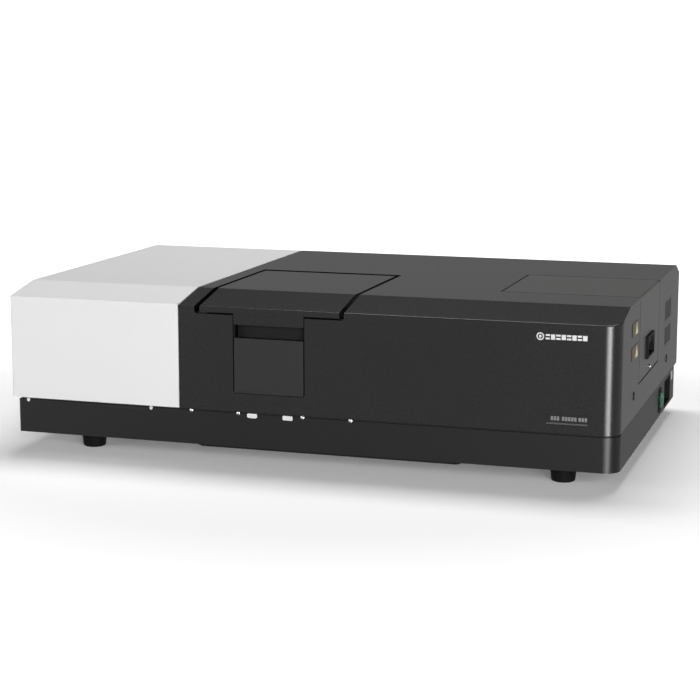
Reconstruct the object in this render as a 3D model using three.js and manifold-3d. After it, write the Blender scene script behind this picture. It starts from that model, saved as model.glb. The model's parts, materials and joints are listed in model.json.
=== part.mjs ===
// Double-beam spectrophotometer with a top-opening sample compartment.
// Millimetres, +Z up. The origin is on the bench surface under the middle of the instrument,
// the front faces -Y, the detector end is at -X and the lamp end at +X.
import * as THREE from 'three';
import { mergeVertices } from 'three/addons/utils/BufferGeometryUtils.js';
import Module from 'manifold-3d';

const wasm = await Module();
wasm.setup();

// Driving dimensions
const HALF_WIDTH = 510;
const HALF_DEPTH = 330;
const HEIGHT = 275;
const GAP = 0.3;                 // play between pieces that touch
const SHEET = 2.5;               // wall of the covers
const BASE_WALL = 3;             // wall of the base tray
const FOOT_HEIGHT = 30;
const SEAM_LOW = 85.5;           // top of the base tray
const SEAM_HIGH = 88.5;          // bottom edge of the covers
const SPLIT_X = -207;            // where the detector cover meets the main cover
const CORNER_RADIUS = 25;        // upright corner at the front right
const BEVEL_START_Y = -244;      // where the flat top turns down to the front
const DARK_FRONT_Z = 257.5;      // top of the main cover's front face
const PALE_FRONT_Z = 259;        // top of the detector cover's front face
const REAR_BEVEL_Y = 280;
const REAR_BEVEL_Z = 254;

const BASE = { left: -499, right: HALF_WIDTH, front: -HALF_DEPTH, rear: 297 };
const LID = { left: -172, right: 67, lipLeft: -170, lipRight: 66, rear: -10, lipLow: 248.5 };
const LID_PLAY = { side: 7, rear: 8, front: 3 };
const LID_SHEET = 2;
const ROLL_RADIUS = 7;           // rolled rear edge of the lid, around the hinge pin
const HINGE_Y = LID.rear - ROLL_RADIUS;
const HINGE_Z = HEIGHT - ROLL_RADIUS;
const PIN_RADIUS = 2;
const TONGUE = { left: -112, right: 7, low: 230.5 };
const PANEL = { left: -112, right: 7, low: 119, high: 209 };
const TUB = { left: -171, right: 67, front: -298, rear: -36, floor: 72.3, rim: 243, flangeRear: -1 };
const DECK_TOP = 72;             // top of the optical bench
const DECK_LOW = 60;
const BEAM_Z = 150;              // height of the light beams
const SAMPLE_BEAM_Y = -230;
const REFERENCE_BEAM_Y = -130;
const LAMP_COVER = { left: 284, front: -139, rear: 70, low: 136.5, play: 2.5 };
const PULL = { front: -68, rear: 3, low: 162.5, high: 200, depth: 20, rim: 3.5 };
const LOUVRES = [
  { name: 'louvre_upper', low: 188, high: 229 },
  { name: 'louvre_lower', low: 144, high: 183 },
];
const LOUVRE_FRONT = 142;
const LOUVRE_REAR = 226;
const LOUVRE_SLOTS = 9;
const SWITCH = { y: 112, z: 59, pivotX: 505.5, halfHeight: 21, halfWidth: 12 };
const RECESS = { front: 168, rear: 242, low: 34, high: 81.5, depth: 37 };
const FAN = { x: 478, y: 184, z: 186.5, side: 80, depth: 25 };

// Materials
function finish(color, roughness, metalness = 0) {
  return new THREE.MeshStandardMaterial({ color, roughness, metalness });
}

const PALE_PAINT = finish(0xe6e7e8, 0.45);
const DARK_PAINT = finish(0x35353a, 0.5);
const DARKER_PAINT = finish(0x242427, 0.6);
const LAMP_PAINT = finish(0x4a4a4c, 0.5);
const RUBBER = finish(0x121212, 0.9);
const STEEL = finish(0xb8bbbd, 0.35, 1);
const BLACK_STEEL = finish(0x1d1d1f, 0.35, 1);
const BLACK_PLASTIC = finish(0x101012, 0.6);
const GREEN_PLASTIC = finish(0x1f9a5b, 0.35);
const PALE_PLASTIC = finish(0xe2e3e4, 0.4);
const YELLOW_LABEL = finish(0xd9b43a, 0.5);
const ORANGE_LABEL = finish(0xc9722e, 0.5);
const GREY_METAL = finish(0x8b8f93, 0.45, 1);
const GLASS = finish(0xdfe8ec, 0.05);
const MIRROR = finish(0xe8ecef, 0.05, 1);
const BOARD_GREEN = finish(0x1e5c3a, 0.5);

// Solids
function solid(geometry) {
  geometry.deleteAttribute('normal');
  geometry.deleteAttribute('uv');
  const merged = mergeVertices(geometry, 1e-4);
  const index = merged.index.array;
  const kept = [];
  for (let i = 0; i < index.length; i += 3) {
    const [a, b, c] = [index[i], index[i + 1], index[i + 2]];
    if (a !== b && b !== c && c !== a) kept.push(a, b, c);
  }
  return new wasm.Manifold(new wasm.Mesh({
    numProp: 3,
    vertProperties: new Float32Array(merged.attributes.position.array),
    triVerts: new Uint32Array(kept),
  }));
}

function geometryOf(body) {
  const { vertProperties, triVerts } = body.getMesh();
  const geometry = new THREE.BufferGeometry();
  geometry.setAttribute('position', new THREE.BufferAttribute(vertProperties, 3));
  geometry.setIndex(new THREE.BufferAttribute(triVerts, 1));
  geometry.computeVertexNormals();
  return geometry;
}

function join(...bodies) {
  return bodies.reduce((whole, body) => whole.add(body));
}

function cut(body, ...tools) {
  return tools.reduce((left, tool) => left.subtract(tool), body);
}

function block(x0, x1, y0, y1, z0, z1) {
  const box = new THREE.BoxGeometry(x1 - x0, y1 - y0, z1 - z0);
  box.translate((x0 + x1) / 2, (y0 + y1) / 2, (z0 + z1) / 2);
  return solid(box);
}

function rodGeometry(radius, length, sides) {
  return new THREE.CylinderGeometry(radius, radius, length, sides);
}

function rodX(x0, x1, y, z, radius, sides = 24) {
  const rod = rodGeometry(radius, x1 - x0, sides).rotateZ(Math.PI / 2);
  return solid(rod.translate((x0 + x1) / 2, y, z));
}

function rodY(y0, y1, x, z, radius, sides = 24) {
  return solid(rodGeometry(radius, y1 - y0, sides).translate(x, (y0 + y1) / 2, z));
}

function rodZ(z0, z1, x, y, radius, sides = 24) {
  const rod = rodGeometry(radius, z1 - z0, sides).rotateX(Math.PI / 2);
  return solid(rod.translate(x, y, (z0 + z1) / 2));
}

function outline(points) {
  return new THREE.Shape(points.map(([a, b]) => new THREE.Vector2(a, b)));
}

function extrude(shape, depth) {
  return new THREE.ExtrudeGeometry(shape, { depth, bevelEnabled: false, curveSegments: 12 });
}

// A (y, z) outline carried along X.
function prismX(points, x0, x1) {
  const turn = new THREE.Matrix4().makeBasis(
    new THREE.Vector3(0, 1, 0), new THREE.Vector3(0, 0, 1), new THREE.Vector3(1, 0, 0));
  return solid(extrude(outline(points), x1 - x0).applyMatrix4(turn).translate(x0, 0, 0));
}

// An (x, z) shape carried along Y.
function prismY(shape, y0, y1) {
  return solid(extrude(shape, y1 - y0).rotateX(Math.PI / 2).translate(0, y1, 0));
}

// An (x, y) shape carried along Z.
function prismZ(shape, z0, z1) {
  return solid(extrude(shape, z1 - z0).translate(0, 0, z0));
}

// A rectangle with one radius per corner.
function roundedRectangle(x0, x1, y0, y1, { frontLeft = 0, frontRight = 0, rearLeft = 0, rearRight = 0 }) {
  const shape = new THREE.Shape();
  shape.moveTo(x0 + frontLeft, y0);
  shape.lineTo(x1 - frontRight, y0);
  if (frontRight) shape.absarc(x1 - frontRight, y0 + frontRight, frontRight, -Math.PI / 2, 0);
  shape.lineTo(x1, y1 - rearRight);
  if (rearRight) shape.absarc(x1 - rearRight, y1 - rearRight, rearRight, 0, Math.PI / 2);
  shape.lineTo(x0 + rearLeft, y1);
  if (rearLeft) shape.absarc(x0 + rearLeft, y1 - rearLeft, rearLeft, Math.PI / 2, Math.PI);
  shape.lineTo(x0, y0 + frontLeft);
  if (frontLeft) shape.absarc(x0 + frontLeft, y0 + frontLeft, frontLeft, Math.PI, 1.5 * Math.PI);
  return shape;
}

function evenRadius(radius) {
  return { frontLeft: radius, frontRight: radius, rearLeft: radius, rearRight: radius };
}

// Height of the bevelled front of a cover whose front face ends at frontZ.
function bevelSlope(frontZ) {
  return (HEIGHT - frontZ) / (BEVEL_START_Y + HALF_DEPTH);
}

// Side outline of a cover, moved inwards by the wall thickness.
function coverProfile(frontZ, wall, low) {
  const slope = bevelSlope(frontZ);
  const rearSlope = (HEIGHT - REAR_BEVEL_Z) / (HALF_DEPTH - REAR_BEVEL_Y);
  const drop = wall * Math.hypot(1, slope);
  const rearDrop = wall * Math.hypot(1, rearSlope);
  const front = -HALF_DEPTH + wall;
  const rear = HALF_DEPTH - wall;
  const top = HEIGHT - wall;
  return [
    [front, low],
    [rear, low],
    [rear, REAR_BEVEL_Z + wall * rearSlope - rearDrop],
    [REAR_BEVEL_Y + (wall - rearDrop) / rearSlope, top],
    [BEVEL_START_Y - (wall - drop) / slope, top],
    [front, frontZ + wall * slope - drop],
  ];
}

// Opening in the underside of both covers, inside the flange that reaches in over the base.
const UNDERSIDE = { left: -497.5, right: HALF_WIDTH - SHEET, front: -HALF_DEPTH + SHEET, rear: 296 };

function undersideOpening() {
  const { left, right, front, rear } = UNDERSIDE;
  const shape = roundedRectangle(left, right, front, rear,
    { frontRight: CORNER_RADIUS - SHEET, rearRight: 5.5 });
  return prismZ(shape, SEAM_HIGH - 1, SEAM_HIGH + SHEET + 1);
}

function coverSolid(x0, x1, wall, frontZ, low, radii) {
  const plan = roundedRectangle(x0, x1, -HALF_DEPTH + wall, HALF_DEPTH - wall, radii);
  return prismX(coverProfile(frontZ, wall, low), x0, x1)
    .intersect(prismZ(plan, low - 1, HEIGHT + 1));
}

// Scene graph
const instrument = new THREE.Group();

function place(name, body, material, parent = instrument) {
  const mesh = new THREE.Mesh(body.isBufferGeometry ? body : geometryOf(body), material);
  mesh.name = name;
  parent.add(mesh);
  return mesh;
}

// Base tray
const SCREW_HEAD_RADIUS = 3;
const SEAM_SCREW_Z = 85;
const SEAM_SCREWS = [-187, -105.5, 4, 84.5];
const COVER_SCREWS = [-481, -258];
const SEAM_CAPS = [-81.5, -21];
const CAP = { width: 17, height: 7.2, z: 82.8 };

function basePlan(inset) {
  const { left, right, front, rear } = BASE;
  const radius = (corner) => Math.max(corner - inset, 0.8);
  return roundedRectangle(left + inset, right - inset, front + inset, rear - inset,
    { frontLeft: radius(4), frontRight: radius(CORNER_RADIUS), rearLeft: radius(4), rearRight: radius(8) });
}

// The upstand stands inside the covers and closes the seam to light.
const UPSTAND = { outer: 4, inner: 6, shelf: SEAM_LOW - 3, top: SEAM_HIGH + 7 };

function baseTray() {
  const ledge = cut(prismZ(basePlan(1), UPSTAND.shelf, SEAM_LOW),
    prismZ(basePlan(UPSTAND.inner), UPSTAND.shelf - 1, SEAM_LOW + 1));
  const upstand = cut(prismZ(basePlan(UPSTAND.outer), UPSTAND.shelf, UPSTAND.top),
    prismZ(basePlan(UPSTAND.inner), UPSTAND.shelf - 1, UPSTAND.top + 1));
  const walls = cut(prismZ(basePlan(0), FOOT_HEIGHT, SEAM_LOW),
    prismZ(basePlan(BASE_WALL), FOOT_HEIGHT + BASE_WALL, SEAM_LOW + 1));
  const rightWall = block(BASE.right - BASE_WALL, BASE.right, BASE.front + CORNER_RADIUS,
    BASE.rear - 10, SEAM_LOW - 1, SEAM_HIGH - GAP);
  let tray = join(walls, ledge, upstand, rightWall);
  for (const x of [...SEAM_SCREWS, ...COVER_SCREWS]) {
    tray = cut(tray, rodY(BASE.front - 1, BASE.front + 2.2, x, SEAM_SCREW_Z, SCREW_HEAD_RADIUS + GAP));
  }
  for (const x of SEAM_CAPS) {
    tray = cut(tray, block(x - CAP.width / 2 - GAP, x + CAP.width / 2 + GAP, BASE.front - 1,
      BASE.front + 2.2, CAP.z - CAP.height / 2 - GAP, SEAM_LOW + 1));
  }
  const wallX = [BASE.right - BASE_WALL - 1, BASE.right + 1];
  return cut(tray,
    block(...wallX, RECESS.front - 0.5, RECESS.rear + 0.5, RECESS.low - 0.5, RECESS.high + 0.5),
    block(...wallX, SWITCH.y - 9.4, SWITCH.y + 9.4, SWITCH.z - 18.4, SWITCH.z + 18.4));
}
place('base_chassis', baseTray(), DARK_PAINT);

// Belly pan, a shallow tray with sloped ends under the base
const PAN = { left: -186, right: 270, front: -322, rear: 270, depth: 5, slope: 14 };

function bellyPan() {
  const top = FOOT_HEIGHT - GAP;
  const low = FOOT_HEIGHT - PAN.depth;
  const shape = outline([[PAN.left, top], [PAN.left + PAN.slope, low],
    [PAN.right - PAN.slope, low], [PAN.right, top]]);
  return prismY(shape, PAN.front, PAN.rear);
}
place('belly_pan', bellyPan(), DARKER_PAINT);

// Feet
const FOOT = { topRadius: 21, lowRadius: 19, edge: 3 };

function footGeometry() {
  const top = FOOT_HEIGHT - GAP;
  const profile = [[0, 0], [FOOT.lowRadius - FOOT.edge, 0], [FOOT.lowRadius - 0.9, 0.9],
    [FOOT.lowRadius, FOOT.edge], [FOOT.topRadius, top - 8], [FOOT.topRadius, top], [0, top]];
  const lathe = new THREE.LatheGeometry(profile.map(([r, z]) => new THREE.Vector2(r, z)), 28);
  return geometryOf(solid(lathe.rotateX(Math.PI / 2)));
}

const FEET = {
  foot_front_left: [-389.5, -270],
  foot_front_right: [415.5, -270],
  foot_rear_left: [-389.5, 232],
  foot_rear_right: [415.5, 232],
};
for (const [name, [x, y]] of Object.entries(FEET)) {
  place(name, footGeometry(), RUBBER).position.set(x, y, 0);
}

// Detector cover, open below and towards the main cover
function detectorCover() {
  const right = SPLIT_X - 1;
  const outer = coverSolid(-HALF_WIDTH, right, 0, PALE_FRONT_Z, SEAM_HIGH, { frontLeft: 3.5, rearLeft: 6 });
  const hollow = coverSolid(-HALF_WIDTH + SHEET, right + 5, SHEET, PALE_FRONT_Z, SEAM_HIGH + SHEET,
    { frontLeft: 1, rearLeft: 3.5 });
  return cut(outer, hollow, undersideOpening());
}
place('detector_cover', detectorCover(), PALE_PAINT);

// Main cover
const PANEL_PLAY = { side: 1.2, low: 0.6 };
const BADGE = { left: 380, right: 461.5, low: 231, high: 243.5 };
const MODEL_PLATE = { left: 397, right: 463, low: 101, high: 116 };
const SIDE_SCREWS = { side_screw_front: [-186, 124], side_screw_rear: [184, 120] };
const VENT = { left: 160, pitch: 14, count: 8, width: 6, low: 140, high: 205 };

function mainCover() {
  const left = SPLIT_X + 1;
  const right = HALF_WIDTH;
  const outer = coverSolid(left, right, 0, DARK_FRONT_Z, SEAM_HIGH,
    { frontRight: CORNER_RADIUS, rearRight: 8 });
  const hollow = coverSolid(left + SHEET, right - SHEET, SHEET, DARK_FRONT_Z, SEAM_HIGH + SHEET,
    { frontRight: CORNER_RADIUS - SHEET, rearRight: 5.5 });
  const underside = undersideOpening().intersect(block(left, right, -HALF_DEPTH, HALF_DEPTH, 0, HEIGHT));
  const besideUpstand = block(left - 1, left + SHEET + 1, UNDERSIDE.front, UNDERSIDE.rear,
    SEAM_HIGH - 1, UPSTAND.top + 2);
  const front = [-HALF_DEPTH - 1, -HALF_DEPTH + SHEET + 1];
  const side = [right - SHEET - 1, right + 1];
  const lamp = { front: LAMP_COVER.front - LAMP_COVER.play, rear: LAMP_COVER.rear + LAMP_COVER.play };
  let cover = cut(outer, hollow, underside, besideUpstand,
    block(LID.left - LID_PLAY.side, LID.right + LID_PLAY.side, -HALF_DEPTH - 1,
      LID.rear + LID_PLAY.rear, LID.lipLow - LID_PLAY.front, HEIGHT + 1),
    block(PANEL.left - PANEL_PLAY.side, PANEL.right + PANEL_PLAY.side, ...front,
      PANEL.low - PANEL_PLAY.low, LID.lipLow),
    block(...side, lamp.front, lamp.rear, LAMP_COVER.low - LAMP_COVER.play, HEIGHT + 1),
    block(LAMP_COVER.left - LAMP_COVER.play, right + 1, lamp.front, lamp.rear,
      HEIGHT - SHEET - 1, HEIGHT + 1),
    block(BADGE.left - GAP, BADGE.right + GAP, -HALF_DEPTH - 1, -HALF_DEPTH + 1,
      BADGE.low - GAP, BADGE.high + GAP),
    block(MODEL_PLATE.left - GAP, MODEL_PLATE.right + GAP, -HALF_DEPTH - 1, -HALF_DEPTH + 1,
      MODEL_PLATE.low - GAP, MODEL_PLATE.high + GAP));
  for (const louvre of LOUVRES) {
    cover = cut(cover, block(...side, LOUVRE_FRONT - GAP, LOUVRE_REAR + GAP,
      louvre.low - GAP, louvre.high + GAP));
  }
  for (const [y, z] of Object.values(SIDE_SCREWS)) {
    cover = cut(cover, rodX(...side, y, z, 2.3, 16));
  }
  for (const y of [SAMPLE_BEAM_Y, REFERENCE_BEAM_Y]) {
    cover = cut(cover, block(left - 1, left + SHEET + 1, y - 25, y + 25, BEAM_Z - 25, BEAM_Z + 25));
  }
  for (let i = 0; i < VENT.count; i += 1) {
    const x = VENT.left + i * VENT.pitch;
    cover = cut(cover, block(x, x + VENT.width, HALF_DEPTH - SHEET - 1, HALF_DEPTH + 1, VENT.low, VENT.high));
  }
  return cover;
}
place('main_cover', mainCover(), DARK_PAINT);

// Blank badge and model plate, set into shallow pockets in the front
function frontPlate({ left, right, low, high }) {
  return block(left, right, -HALF_DEPTH, -HALF_DEPTH + 0.7, low, high);
}
place('badge', frontPlate(BADGE), STEEL);
place('model_plate', frontPlate(MODEL_PLATE), STEEL);

// Screws and caps along the seam
function seamScrew(x) {
  const z = SEAM_SCREW_Z;
  const head = rodY(BASE.front, BASE.front + 1.9, x, z, SCREW_HEAD_RADIUS, 20);
  const slot = block(x - 5, x + 5, BASE.front - 1, BASE.front + 0.8, z - 0.4, z + 0.4);
  return cut(head, slot);
}
SEAM_SCREWS.forEach((x, i) => place(`seam_screw_${i + 1}`, seamScrew(x), STEEL));
COVER_SCREWS.forEach((x, i) => place(`cover_screw_${i + 1}`, seamScrew(x), PALE_PLASTIC));

function seamCap(x) {
  const shape = roundedRectangle(x - CAP.width / 2, x + CAP.width / 2,
    CAP.z - CAP.height / 2, CAP.z + CAP.height / 2, evenRadius(2));
  return prismY(shape, BASE.front, BASE.front + 1.9);
}
SEAM_CAPS.forEach((x, i) => place(`seam_cap_${i + 1}`, seamCap(x), PALE_PLASTIC));

// Domed screws on the right side
function lathe(profile, sides = 24) {
  const points = profile.map(([r, z]) => new THREE.Vector2(r, z));
  return solid(new THREE.LatheGeometry(points, sides).rotateX(Math.PI / 2));
}

function sideScrew(radius, depth, shankLength) {
  const face = HALF_WIDTH + GAP;
  const dome = lathe([[0, 0], [radius, 0], [radius, depth * 0.35], [radius * 0.85, depth * 0.75],
    [radius * 0.5, depth], [0, depth]], 28);
  const head = dome.rotate([0, 90, 0]).translate([face, 0, 0]);
  const shank = rodX(face - shankLength, face + 0.5, 0, 0, 2, 16);
  const slot = block(face + depth - 0.8, face + depth + 1, -radius, radius, -0.6, 0.6);
  return cut(join(head, shank), slot);
}
for (const [name, [y, z]] of Object.entries(SIDE_SCREWS)) {
  place(name, sideScrew(7.5, 1.7, 8), BLACK_STEEL).position.set(0, y, z);
}

// Lamp cover, an L-shaped lift-off piece with a finger pull and a captive screw
const LAMP_SCREW = { y: -24, z: 143 };

function lampCover() {
  const right = HALF_WIDTH;
  const bend = 4;
  const shape = new THREE.Shape();
  shape.moveTo(LAMP_COVER.left, HEIGHT - SHEET);
  shape.lineTo(right - bend, HEIGHT - SHEET);
  shape.absarc(right - bend, HEIGHT - bend, bend - SHEET, Math.PI / 2, 0, true);
  shape.lineTo(right - SHEET, LAMP_COVER.low);
  shape.lineTo(right, LAMP_COVER.low);
  shape.lineTo(right, HEIGHT - bend);
  shape.absarc(right - bend, HEIGHT - bend, bend, 0, Math.PI / 2);
  shape.lineTo(LAMP_COVER.left, HEIGHT);
  const wall = [right - SHEET - 1, right + 1];
  return cut(prismY(shape, LAMP_COVER.front, LAMP_COVER.rear),
    block(...wall, PULL.front - 0.4, PULL.rear + 0.4, PULL.low - 0.4, PULL.high + 0.4),
    rodX(...wall, LAMP_SCREW.y, LAMP_SCREW.z, 2.3, 16));
}

function fingerPull() {
  const face = HALF_WIDTH;
  const wall = 2;
  const lipLow = PULL.high - 16;
  const pocket = [PULL.front + 5, PULL.rear - 5, PULL.low + 4];
  const shell = block(face - PULL.depth, face + PULL.rim, PULL.front, PULL.rear, PULL.low, PULL.high);
  const dish = block(face, face + PULL.rim + 1, ...pocket, PULL.high - 4);
  const mouth = block(face - PULL.depth + wall, face + 1, ...pocket, lipLow);
  const behindLip = block(face - PULL.depth + wall, face - 3, pocket[0], pocket[1],
    lipLow - 1, PULL.high - wall);
  return cut(shell, dish, mouth, behindLip);
}
place('lamp_cover', lampCover(), LAMP_PAINT);
place('lamp_cover_pull', fingerPull(), BLACK_PLASTIC);
place('lamp_cover_screw', sideScrew(4, 2.6, 9), STEEL).position.set(0, LAMP_SCREW.y, LAMP_SCREW.z);

// Louvred grilles in the right side
function louvreGrille({ low, high }) {
  const depth = 4;
  const border = 4;
  const face = HALF_WIDTH;
  let grille = block(face - depth, face, LOUVRE_FRONT, LOUVRE_REAR, low, high);
  const pitch = (LOUVRE_REAR - LOUVRE_FRONT - 2 * border) / LOUVRE_SLOTS;
  for (let i = 0; i < LOUVRE_SLOTS; i += 1) {
    const slot = new THREE.BoxGeometry(depth * 3, pitch * 0.45, high - low - 2 * border);
    slot.rotateZ(Math.PI / 5);
    slot.translate(face - depth / 2, LOUVRE_FRONT + border + (i + 0.5) * pitch, (low + high) / 2);
    grille = cut(grille, solid(slot));
  }
  return grille;
}
for (const louvre of LOUVRES) place(louvre.name, louvreGrille(louvre), DARK_PAINT);

// Cooling fan behind the louvres
function fanFrame() {
  const { x, y, z, side, depth } = FAN;
  const half = side / 2;
  const hub = rodX(x, x + 3, y, z, 13);
  const strut = block(x, x + 3, y - half + 1, y + half - 1, z - 2, z + 2);
  const upright = block(x, x + 3, y - 2, y + 2, z - half + 1, z + half - 1);
  const ring = cut(block(x, x + depth, y - half, y + half, z - half, z + half),
    rodX(x - 1, x + depth + 1, y, z, half - 2, 32));
  return join(ring, hub, strut, upright);
}

function fanRotor() {
  const { x, y, z } = FAN;
  const reach = 35.5;
  let rotor = rodX(x + 3.8, x + 22, y, z, 12);
  const blades = 7;
  for (let i = 0; i < blades; i += 1) {
    const blade = new THREE.BoxGeometry(1.6, 17, reach - 9);
    blade.rotateZ(0.7);
    blade.translate(0, 0, (reach + 9) / 2);
    blade.rotateX((i * 2 * Math.PI) / blades);
    blade.translate(x + 12.5, y, z);
    rotor = join(rotor, solid(blade));
  }
  return rotor;
}
place('fan_frame', fanFrame(), BLACK_PLASTIC);
place('fan_rotor', fanRotor(), BLACK_PLASTIC);

// Labels on the right side, plain and thin
const LABELS = {
  warning_label_upper: { front: -222, rear: -160, low: 223, high: 244, material: YELLOW_LABEL },
  warning_label_lower: { front: -222, rear: -160, low: 185, high: 206, material: ORANGE_LABEL },
  blank_label: { front: 246, rear: 266, low: 69, high: 84.5, material: PALE_PLASTIC },
};
for (const [name, { front, rear, low, high, material }] of Object.entries(LABELS)) {
  const face = HALF_WIDTH + GAP;
  place(name, block(face, face + 0.4, front, rear, low, high), material);
}

// Power switch in the base's right wall
function switchBezel() {
  const { y, z, halfHeight, halfWidth } = SWITCH;
  const face = HALF_WIDTH;
  const rim = block(face + GAP, face + 1.8, y - halfWidth, y + halfWidth, z - halfHeight, z + halfHeight);
  const body = block(face - 26, face + 0.6, y - 9, y + 9, z - 18, z + 18);
  const well = block(face - 23, face + 3, y - 7.5, y + 7.5, z - 16.5, z + 16.5);
  return cut(join(rim, body), well);
}

function switchRocker() {
  const tilt = (6 * Math.PI) / 180;
  const shape = outline([[-7, -10], [6, -14], [9, -11], [10.5, -4], [10.5, 4], [9, 11], [6, 14], [-7, 10]]);
  const rocker = extrude(shape, 14).rotateX(Math.PI / 2).translate(0, 7, 0);
  return geometryOf(solid(rocker.rotateY(tilt)));
}
place('power_bezel', switchBezel(), BLACK_PLASTIC);
place('power_rocker', switchRocker(), GREEN_PLASTIC).position.set(SWITCH.pivotX, SWITCH.y, SWITCH.z);

// Connector recess with its inlet, fuse holder and data port
const RECESS_BACK = HALF_WIDTH - RECESS.depth;

function connectorRecess() {
  const wall = 2;
  return cut(
    block(RECESS_BACK, HALF_WIDTH - 0.5, RECESS.front, RECESS.rear, RECESS.low, RECESS.high),
    block(RECESS_BACK + wall, HALF_WIDTH + 1, RECESS.front + wall, RECESS.rear - wall,
      RECESS.low + wall, RECESS.high - wall));
}

function socket(depth, width, height, wall, cavityDepth) {
  return cut(block(0, depth, 0, width, 0, height),
    block(depth - cavityDepth, depth + 1, wall, width - wall, wall, height - wall));
}
place('connector_recess', connectorRecess(), BLACK_PLASTIC);
const connectors = new THREE.Group();
connectors.position.set(RECESS_BACK + 2 + GAP, 0, 0);
instrument.add(connectors);
place('power_inlet', socket(18, 30, 24, 2.5, 15), BLACK_PLASTIC, connectors).position.set(0, 173, 45);
place('data_port', socket(10, 13, 12, 2, 8), GREY_METAL, connectors).position.set(0, 210, 44);
place('fuse_holder', rodX(0, 12, 0, 0, 6.5, 20), BLACK_PLASTIC, connectors).position.set(0, 222, 68);

// Sample compartment
const BEAM_YS = [SAMPLE_BEAM_Y, REFERENCE_BEAM_Y];

function sampleTub() {
  const wall = 3;
  const { left, right, front, rear, floor, rim } = TUB;
  const flange = block(left - 21, right + 21, -326, TUB.flangeRear, rim - wall, rim);
  const lugTop = HEIGHT - SHEET - 0.7;
  const lugs = [left - 19, right + 9].map((x) =>
    block(x, x + 10, HINGE_Y - 10, HINGE_Y + 10, rim - 1, lugTop));
  const bowl = block(left, right, front, rear, floor, rim);
  const inside = block(left + wall, right - wall, front + wall, rear - wall, floor + wall, rim + 1);
  const holes = BEAM_YS.map((y) => rodX(left - 1, right + 1, y, BEAM_Z, 9));
  return cut(join(flange, bowl, ...lugs), inside, ...holes,
    rodX(left - 30, right + 30, HINGE_Y, HINGE_Z, PIN_RADIUS + GAP, 20),
    block(PANEL.left + 11, PANEL.right - 11, front - 1, front + wall + 1, PANEL.low + 5, PANEL.high - 8));
}
place('sample_tub', sampleTub(), DARKER_PAINT);

// Quartz plates over the beam holes on both sides of the tub
const WINDOW_THICKNESS = 3.2;
const windowPlate = () => geometryOf(block(0, WINDOW_THICKNESS, -260, -100, BEAM_Z - 18, BEAM_Z + 18));
place('window_left', windowPlate(), GLASS).position.x = TUB.left - GAP - WINDOW_THICKNESS;
place('window_right', windowPlate(), GLASS).position.x = TUB.right + GAP;

// Cell holders for 12.5 mm square cells
function cellHolder() {
  const half = 20;
  const low = TUB.floor + 3 + GAP;
  const high = BEAM_Z + 22;
  const cell = 12.8 / 2;
  return cut(block(-half, half, -half, half, low, high),
    block(-cell, cell, -cell, cell, BEAM_Z - 23, high + 1),
    rodX(-half - 1, half + 1, 0, BEAM_Z, 4.5, 20));
}
const HOLDER_X = -52;
place('cell_holder_sample', cellHolder(), GREY_METAL).position.set(HOLDER_X, SAMPLE_BEAM_Y, 0);
place('cell_holder_reference', cellHolder(), GREY_METAL).position.set(HOLDER_X, REFERENCE_BEAM_Y, 0);

// Lid with a bevelled front, a lip, a grip tongue, a light-trap rim and a rolled rear edge
function sampleLid() {
  const front = -HALF_DEPTH;
  const slope = bevelSlope(DARK_FRONT_Z);
  const low = HEIGHT - LID_SHEET;
  const lipBack = front + 4;
  const surface = [[BEVEL_START_Y, HEIGHT], [front, DARK_FRONT_Z]];
  const sheet = prismX([[front, LID.lipLow], [lipBack, LID.lipLow],
    [lipBack, DARK_FRONT_Z + slope * 4 - LID_SHEET], [BEVEL_START_Y, low],
    [HINGE_Y, low], [HINGE_Y, HEIGHT], ...surface], LID.lipLeft, LID.lipRight);
  const top = block(LID.left, LID.right, BEVEL_START_Y, HINGE_Y, low, HEIGHT);
  const roll = rodX(LID.left, LID.right, HINGE_Y, HINGE_Z, ROLL_RADIUS, 48);
  const tongue = block(TONGUE.left, TONGUE.right, front, front + 3.7, TONGUE.low, LID.lipLow + 1);
  const rimLow = TUB.rim - 7;
  const rimX = [TUB.left + 6, TUB.right - 6];
  const rimY = [TUB.front + 7, TUB.rear - 10];
  const rim = cut(block(...rimX, ...rimY, rimLow, HEIGHT),
    block(rimX[0] + 3, rimX[1] - 3, rimY[0] + 3, rimY[1] - 3, rimLow - 1, HEIGHT + 1));
  const under = prismX([[front, rimLow - 1], [0, rimLow - 1], [0, HEIGHT - 1],
    [BEVEL_START_Y, HEIGHT - 1], [front, DARK_FRONT_Z - 1]], LID.left, LID.right);
  return cut(join(sheet, top, roll, tongue, rim.intersect(under)),
    rodX(LID.left - 1, LID.right + 1, HINGE_Y, HINGE_Z, PIN_RADIUS + GAP, 20));
}
place('sample_lid', sampleLid(), DARK_PAINT);
place('lid_hinge_pin', rodX(TUB.left - 18, TUB.right + 18, HINGE_Y, HINGE_Z, PIN_RADIUS, 20), STEEL);

// Lower front panel with the plug that closes the tub's front opening
function frontPanel() {
  const face = -HALF_DEPTH;
  return join(
    block(PANEL.left, PANEL.right, face, face + 4, PANEL.low, PANEL.high),
    block(PANEL.left + 14, PANEL.right - 14, face + 3, TUB.front + 8, PANEL.low + 8, PANEL.high - 11));
}
place('front_panel', frontPanel(), LAMP_PAINT);

// Recess behind the slot where fingers reach under the lid's tongue
function fingerRecess() {
  const front = -HALF_DEPTH + 4.6;
  const back = front + 13.4;
  const [low, high] = [PANEL.high - 4, TONGUE.low + 3.5];
  const [left, right] = [PANEL.left - 8, PANEL.right + 8];
  const tray = cut(block(left, right, front, back, low, high),
    block(PANEL.left + 2, PANEL.right - 2, front - 1, back - 3, low + 3, high - 3));
  const arms = [left, right - 6].map((x) => block(x, x + 6, back - 1, TUB.front - GAP, low, high));
  return join(tray, ...arms);
}
place('finger_recess', fingerRecess(), DARKER_PAINT);

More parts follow.
